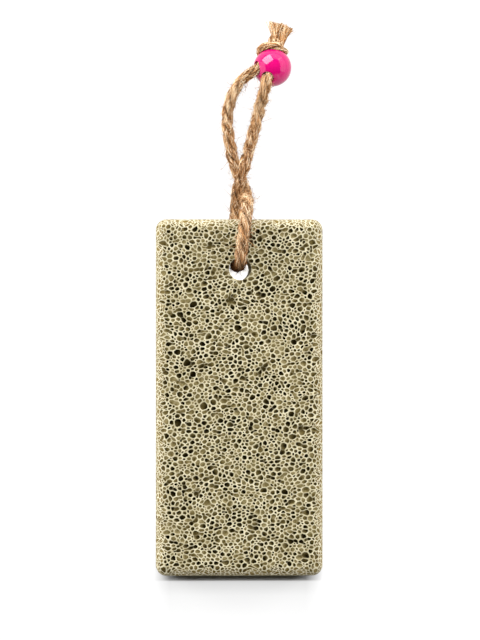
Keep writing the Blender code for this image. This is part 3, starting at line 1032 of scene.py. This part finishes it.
class BATHSTONE_OT_twine(Operator):
    """Lay the jute twine through the stone and the bead, with its loose hairs"""

    bl_idname = "bathstone.twine"
    bl_label = "Jute Twine"

    def execute(self, context):
        settings = context.scene.bath_twine
        twine = Twine(Line(ROUTE, LOOP_SPACING), settings, settings.seed, LOOP_SHADES)
        rope = twine.skin("laid_twine")
        finish_piece(rope, jute_finish("jute_laid", settings), "twine_loop")
        fibre = fibre_finish(settings)
        rng = twine.rng
        laid = gathered(twine.surface_fibres(LAID_FIBRES))
        radii = rng.uniform(*FIBRE_RADII, LAID_FIBRES)
        strands = fibre_mesh("twine_fibres", *laid, radii, FIBRE_TAPER)
        finish_piece(strands, fibre)
        hairs = [twine.loose_hair() for _ in range(HAIRS)]
        hairs += [twine.lying_curl() for _ in range(CURLS)]
        paths, spokes = gathered(hairs)
        off = np.linalg.norm(paths - np.array(BEAD_CENTRE), axis=2).min(axis=1)
        clear = off > context.scene.bath_bead.radius + HAIR_GAP
        radii = rng.uniform(*HAIR_RADII, len(paths))
        tones = np.repeat((0.12, 0.55), (HAIRS, CURLS)) + 0.45 * rng.random(len(paths))
        # hairs down the stone's hole are painted in its shade
        tones = tones[:, None] - hole_shade(paths)
        kept = [values[clear] for values in (paths, spokes, tones, radii)]
        finish_piece(fibre_mesh("twine_hairs", *kept, HAIR_TAPER), fibre)
        return {"FINISHED"}


# ---------------------------------------------------------------- knot and frayed ends

# the turn that closes the knot, from under the bead over its top and back under, and the
# strands inside, seen in its gaps and leading out to the frayed ends
KNOT_ROUTES = (
    (
        (0.0101, 0.0996, 0.0015, 0.8), (0.0082, 0.0989, 0.0016, 0.82),
        (0.00715, 0.0988, 0.0027, 0.86), (0.0071, 0.0995, 0.0043, 0.9),
        (0.00785, 0.1001, 0.0057, 0.92), (0.0092, 0.1004, 0.0065, 0.92),
        (0.0107, 0.1004, 0.0066, 0.92), (0.012, 0.1, 0.006, 0.92),
        (0.0129, 0.0993, 0.0047, 0.9), (0.01305, 0.0987, 0.0031, 0.86),
        (0.0123, 0.0987, 0.0019, 0.82), (0.0103, 0.0995, 0.0015, 0.8),
    ),
    (
        (0.0113, 0.0982, 0.0045, 0.7), (0.0111, 0.0999, 0.0047, 0.78),
        (0.01085, 0.1012, 0.0047, 0.8), (0.0109, 0.1026, 0.0042, 0.66),
        (0.0109, 0.1038, 0.0038, 0.3),
    ),
    (
        (0.0088, 0.0985, 0.0043, 0.7), (0.0101, 0.0999, 0.0044, 0.78),
        (0.0116, 0.1009, 0.0043, 0.8), (0.0126, 0.102, 0.0039, 0.66),
        (0.0134, 0.1031, 0.0035, 0.3),
    ),
    (
        (0.0123, 0.0996, 0.0026, 0.7), (0.0108, 0.1007, 0.0027, 0.75),
        (0.0098, 0.1017, 0.003, 0.66), (0.00975, 0.103, 0.0032, 0.5),
        (0.0101, 0.1043, 0.003, 0.22),
    ),
)
# the frayed ends: where each leaves the knot, the middle of its tips, and their spread
TUFTS = (
    ((0.01085, 0.10110, 0.00440), (0.01115, 0.10780, 0.00340), 0.00175),
    ((0.01225, 0.10080, 0.00420), (0.01415, 0.10700, 0.00310), 0.00190),
)
TUFT_RISE = 0.0009  # their spread up and down
TUFT_STEPS = np.linspace(0, 1, 10)
TUFT_TAPER = np.linspace(1.0, 0.7, 10)
LOCKS, LOCK_FIBRES = 9, 56


def frayed(base, tip, spread, rng):
    """The fibres of one frayed end, in locks: paths, spokes and tones."""
    base, steps = np.array(base), TUFT_STEPS
    along = np.array(tip) - base
    length = np.linalg.norm(along)
    along /= length
    side = np.cross(along, (0.0, 0.0, 1.0))
    side /= np.linalg.norm(side)
    up = np.cross(side, along)
    flare = steps**1.6
    fibres = []
    for lock in range(LOCKS):
        place = -1 + 2 * (lock + 0.5) / LOCKS + rng.normal(0, 0.05)
        lock_tone = rng.uniform(0.28, 0.49)
        level = rng.uniform(-0.8, 0.8)
        reach = length * rng.uniform(0.93, 1.03)
        for _ in range(LOCK_FIBRES):
            a = rng.uniform(0, math.tau)
            r = math.sqrt(rng.random())
            start = side * (r * math.cos(a) * 0.0009) + up * (r * math.sin(a) * 0.0008)
            wide = place * spread + rng.normal(0, 0.13) * spread
            high = level * TUFT_RISE + rng.normal(0, 0.16) * TUFT_RISE
            if rng.random() < 0.12:
                wide += rng.normal(0, 0.45) * spread
                high += rng.normal(0, 0.6) * TUFT_RISE
            end = reach * rng.uniform(0.88, 1.03)
            bend = rng.normal(0, 0.00018, 2)
            wave = np.sin(steps * math.pi * rng.uniform(0.8, 2.2)) * steps
            path = (
                base
                + np.outer(1 - flare, start)
                + np.outer(steps * end, along)
                + np.outer(wide * flare + bend[0] * wave, side)
                + np.outer(high * flare + bend[1] * wave, up)
            )
            # fibres that lie higher are painted paler: painted light from above
            tone = lock_tone + 0.20 * high / TUFT_RISE + rng.normal(0, 0.27)
            fibres.append((path, np.broadcast_to(up, path.shape), tone + 0.28 * (steps - 0.6)))
    return fibres


class BATHSTONE_OT_knot(Operator):
    """Tie the knot behind the bead and fray its two cut ends"""

    bl_idname = "bathstone.knot"
    bl_label = "Knot and Frayed Ends"

    def execute(self, context):
        settings = context.scene.bath_twine
        fibre = fibre_finish(settings)
        jute = jute_finish("jute_knot", settings)
        rng = np.random.default_rng(settings.seed + 5)
        pieces, fibres = [], []
        for number, stops in enumerate(KNOT_ROUTES):
            line = Line(stops, KNOT_SPACING)
            twine = Twine(line, settings, settings.seed + 10 + number, KNOT_SHADES)
            pieces.append(twine.skin(f"knot_strand_{number}"))
            fibres += twine.surface_fibres(STRAND_FIBRES if number else TURN_FIBRES)
        knot = pieces[0]
        only(knot)
        for piece in pieces[1:]:
            piece.select_set(True)
        bpy.ops.object.join()
        knot.name = "tied_knot"
        press_off_bead(knot, gap=0.00012)
        finish_piece(knot, jute, "twine_knot")
        radii = rng.uniform(*KNOT_FIBRE_RADII, len(fibres))
        fuzz = fibre_mesh("knot_fibres", *gathered(fibres), radii, FIBRE_TAPER)
        press_off_bead(fuzz, gap=0.00014)
        finish_piece(fuzz, fibre)
        fibres = [fibre for tuft in TUFTS for fibre in frayed(*tuft, rng)]
        radii = rng.uniform(*FIBRE_RADII, len(fibres))
        ends = fibre_mesh("frayed_ends", *gathered(fibres), radii, TUFT_TAPER, sides=4)
        press_off_bead(ends, gap=0.0002)
        finish_piece(ends, fibre)
        return {"FINISHED"}


# ---------------------------------------------------------------- the bead

CHANNEL_STOPS = 6  # of the route, in each opening
CHANNEL_SIDES = 40
CHANNEL_FLARE = 0.00024  # how much wider each opening is at the ball's surface


def channel_cutter(stops, settings):
    """A round channel along the twine, flared where it leaves the ball."""
    line = Line(stops, spacing=0.0002)
    off = np.linalg.norm(line.points - np.array(BEAD_CENTRE), axis=1)
    flare = np.clip((off - (settings.radius - 0.0005)) / 0.0006, 0, 1)
    radius = settings.channel_radius + CHANNEL_FLARE * flare**1.5
    turn = math.tau * np.arange(CHANNEL_SIDES) / CHANNEL_SIDES
    along, angle = np.meshgrid(line.along, turn, indexing="ij")
    place, _ = line.at(along, angle, radius[:, None])
    return solid_tube("channel", place.reshape(-1, 3), CHANNEL_SIDES)


class BATHSTONE_OT_bead(Operator):
    """Make the polished bead with its two twine channels"""

    bl_idname = "bathstone.bead"
    bl_label = "Bead"

    def execute(self, context):
        settings = context.scene.bath_bead
        for other in context.selected_objects:
            other.select_set(False)
        bpy.ops.mesh.primitive_uv_sphere_add(
            segments=128, ring_count=80, radius=settings.radius, location=BEAD_CENTRE
        )
        ball = context.object
        ball.name = "polished_bead"
        bpy.ops.object.transform_apply(location=True, rotation=True, scale=True)
        for stops in (ROUTE[:CHANNEL_STOPS], ROUTE[-CHANNEL_STOPS:]):
            cut(ball, channel_cutter(stops, settings))
        only(ball)
        bpy.ops.object.shade_smooth_by_angle(angle=math.radians(25))
        finish_piece(ball, bead_finish(settings), "bead")
        return {"FINISHED"}


# ---------------------------------------------------------------- the studio

# the lights: name, place, width, height and watts
LAMPS = (
    ("key", (-0.12, 0.085, 1.2), 0.12, 0.03, 9.4),
    ("back", (-0.05, 0.42, 1.15), 1.0, 0.70, 2.0),
    ("left", (-0.75, 0.30, 0.9), 0.3, 0.5, 2.7),
    ("right", (0.75, 0.30, 0.9), 0.3, 0.5, 1.3),
    ("left_low", (-1.0, 0.60, 0.42), 0.5, 0.3, 13.0),
    ("right_low", (1.0, 0.60, 0.42), 0.5, 0.3, 11.5),
    ("back_low", (0.0, 1.10, 0.45), 0.8, 0.3, 6.0),
)
# the same for the panels that are seen only in the bead's gloss
MIRRORED = (
    ("window", (-0.42, 0.76, 0.52), 0.86, 0.86, 22.0),
    ("wall_right", (1.0, 0.35, 0.42), 1.6, 0.84, 7.0),
    ("wall_corner", (0.85, -0.65, 0.30), 0.9, 0.6, 1.2),
    ("wall_left", (-1.0, 0.0, 0.42), 1.4, 0.84, 6.5),
    ("wall_back", (0.2, 1.3, 0.45), 1.8, 0.9, 9.0),
    ("wall_front", (0.1, -1.0, 0.42), 1.4, 0.84, 3.0),
)
LIT_SPOT_RADIUS = 0.0036
FLOOR_REACH = 1.6
RECTANGLE = ((-1, -1), (1, -1), (1, 1), (-1, 1))
SENSOR_HEIGHT = 24.0


def panel(name, place, width, height, watts, aim, mirrored):
    """A soft rectangular light that faces a point."""
    light = bpy.data.lights.new(name, "AREA")
    light.shape = "RECTANGLE"
    light.size = width
    light.size_y = height
    light.energy = watts
    obj = bpy.data.objects.new(name, light)
    bpy.context.scene.collection.objects.link(obj)
    obj.location = place
    toward = Vector(aim) - Vector(place)
    obj.rotation_euler = toward.to_track_quat("-Z", "Y").to_euler()
    obj.visible_camera = False
    obj.visible_diffuse = not mirrored
    obj.visible_glossy = mirrored


def floor_finish():
    """A pale board that glows, painted light that fills the shadows on it, except where the
    slab's lower end meets it.
    """
    pale = Finish("pale_floor")
    place = {"Vector": pale.place()}
    across = pale.node("ShaderNodeSeparateXYZ", sockets=place)
    along = pale.node("ShaderNodeSeparateXYZ", sockets=place, output=1)
    beside = pale.range(across * across, 0.0195**2, 0.0245**2)
    behind = pale.range(along, -0.049, -0.036)
    # beyond the slab's lower end the glow fades in by stages: painted light that shapes how the
    # shadow there fades
    before = pale.range(along, -0.0525, -0.0529, 0.0, 0.56)
    before += pale.range(along, -0.0529, -0.0570, 0.0, 0.25)
    before += pale.range(along, -0.0570, -0.0690, 0.0, 0.19)
    glow = 1.0 - (1.0 - beside) * (1.0 - behind) * (1.0 - before)
    return pale.surface(
        Base_Color=pale.mix(glow, (0.40, 0.40, 0.40), (0.08, 0.08, 0.08)),
        Roughness=1.0,
        Specular_IOR_Level=0.0,
        Emission_Color=pale.mix(glow, (0.0, 0.0, 0.0), (1.0, 1.0, 1.0)),
        Emission_Strength=0.97,
    )


def lit_spot(stone):
    """A glowing disc under the hole, painted light that shows the floor there white where it lies
    in shade; it lights nothing around it.
    """
    middle = stone_matrix() @ Vector((0, stone.hole_offset, 0))
    turns = [k * math.pi / 24 for k in range(48)]
    radius = LIT_SPOT_RADIUS
    ring = [(radius * math.cos(t), middle.y + radius * math.sin(t), 0.0002) for t in turns]
    spot = add_mesh("lit_spot", ring, [tuple(range(48))], smooth=False)
    glow = Finish("lit_floor")
    spot.data.materials.append(
        glow.surface(
            Base_Color=(0.95, 0.95, 0.95), Emission_Color=(1.0, 1.0, 1.0), Emission_Strength=1.05
        )
    )
    for ray in ("diffuse", "glossy", "transmission", "shadow"):
        setattr(spot, f"visible_{ray}", False)
    return spot


class BATHSTONE_OT_stage(Operator):
    """Set the floor, the lights and the camera"""

    bl_idname = "bathstone.stage"
    bl_label = "Stage"

    def execute(self, context):
        settings = context.scene.bath_stage
        scene = context.scene
        corners = [(x * FLOOR_REACH, y * FLOOR_REACH, 0) for x, y in RECTANGLE]
        floor = add_mesh("floor", corners, [(0, 1, 2, 3)], smooth=False)
        floor.data.materials.append(floor_finish())
        lit_spot(scene.bath_stone)
        for lamp in LAMPS:
            panel(*lamp, (0.0, 0.02, 0.01), mirrored=False)
        for lamp in MIRRORED:
            panel(*lamp, BEAD_CENTRE, mirrored=True)
        world = bpy.data.worlds.new("studio")
        world.use_nodes = True
        background = world.node_tree.nodes["Background"].inputs
        background["Color"].default_value = (1, 1, 1, 1)
        background["Strength"].default_value = 0.02
        scene.world = world
        camera = bpy.data.cameras.new("camera")
        camera.sensor_fit = "VERTICAL"
        camera.sensor_height = SENSOR_HEIGHT
        camera.lens = SENSOR_HEIGHT * settings.distance / settings.view_height
        camera.clip_start = 0.05
        camera.clip_end = 10.0
        eye = bpy.data.objects.new("camera", camera)
        scene.collection.objects.link(eye)
        turn = Matrix.Rotation(-settings.side_angle, 4, "Y")
        aim = Matrix.Translation((settings.aim_x, settings.aim_y, 0.01))
        back = Matrix.Translation((0, 0, settings.distance))
        eye.matrix_world = stone_matrix() @ aim @ turn @ back
        scene.camera = eye
        scene.view_settings.view_transform = "Standard"
        return {"FINISHED"}


# ---------------------------------------------------------------- the add-on


class BATHSTONE_PT_panel(Panel):
    """Sizes and colours of the bath stone, and the steps that make it"""

    bl_idname = "BATHSTONE_PT_panel"
    bl_label = "Bath Stone"
    bl_space_type = "VIEW_3D"
    bl_region_type = "UI"
    bl_category = "Bath Stone"

    def draw(self, context):
        layout = self.layout
        scene = context.scene
        for title, settings, operator in (
            ("Stone", scene.bath_stone, BATHSTONE_OT_stone),
            ("Twine", scene.bath_twine, BATHSTONE_OT_twine),
            ("Knot", None, BATHSTONE_OT_knot),
            ("Bead", scene.bath_bead, BATHSTONE_OT_bead),
            ("Stage", scene.bath_stage, BATHSTONE_OT_stage),
        ):
            box = layout.box()
            box.label(text=title)
            if settings:
                for key in settings.bl_rna.properties.keys():
                    if key not in ("rna_type", "name"):
                        box.prop(settings, key)
            box.operator(operator.bl_idname)


GROUPS = {
    "bath_stone": StoneSettings,
    "bath_twine": TwineSettings,
    "bath_bead": BeadSettings,
    "bath_stage": StageSettings,
}
CLASSES = (
    *GROUPS.values(),
    BATHSTONE_OT_stone,
    BATHSTONE_OT_twine,
    BATHSTONE_OT_knot,
    BATHSTONE_OT_bead,
    BATHSTONE_OT_stage,
    BATHSTONE_PT_panel,
)


def register():
    for cls in CLASSES:
        bpy.utils.register_class(cls)
    for name, group in GROUPS.items():
        setattr(bpy.types.Scene, name, PointerProperty(type=group))


def unregister():
    for name in GROUPS:
        delattr(bpy.types.Scene, name)
    for cls in reversed(CLASSES):
        bpy.utils.unregister_class(cls)


def declare_cord():
    """Make a line along the twine's route, which nothing else uses."""
    line = Line(ROUTE, 0.001)


def main():
    register()
    bpy.ops.bathstone.stone()
    bpy.ops.bathstone.twine()
    bpy.ops.bathstone.knot()
    bpy.ops.bathstone.bead()
    bpy.ops.bathstone.stage()
    declare_cord()


if __name__ == "__main__":
    main()
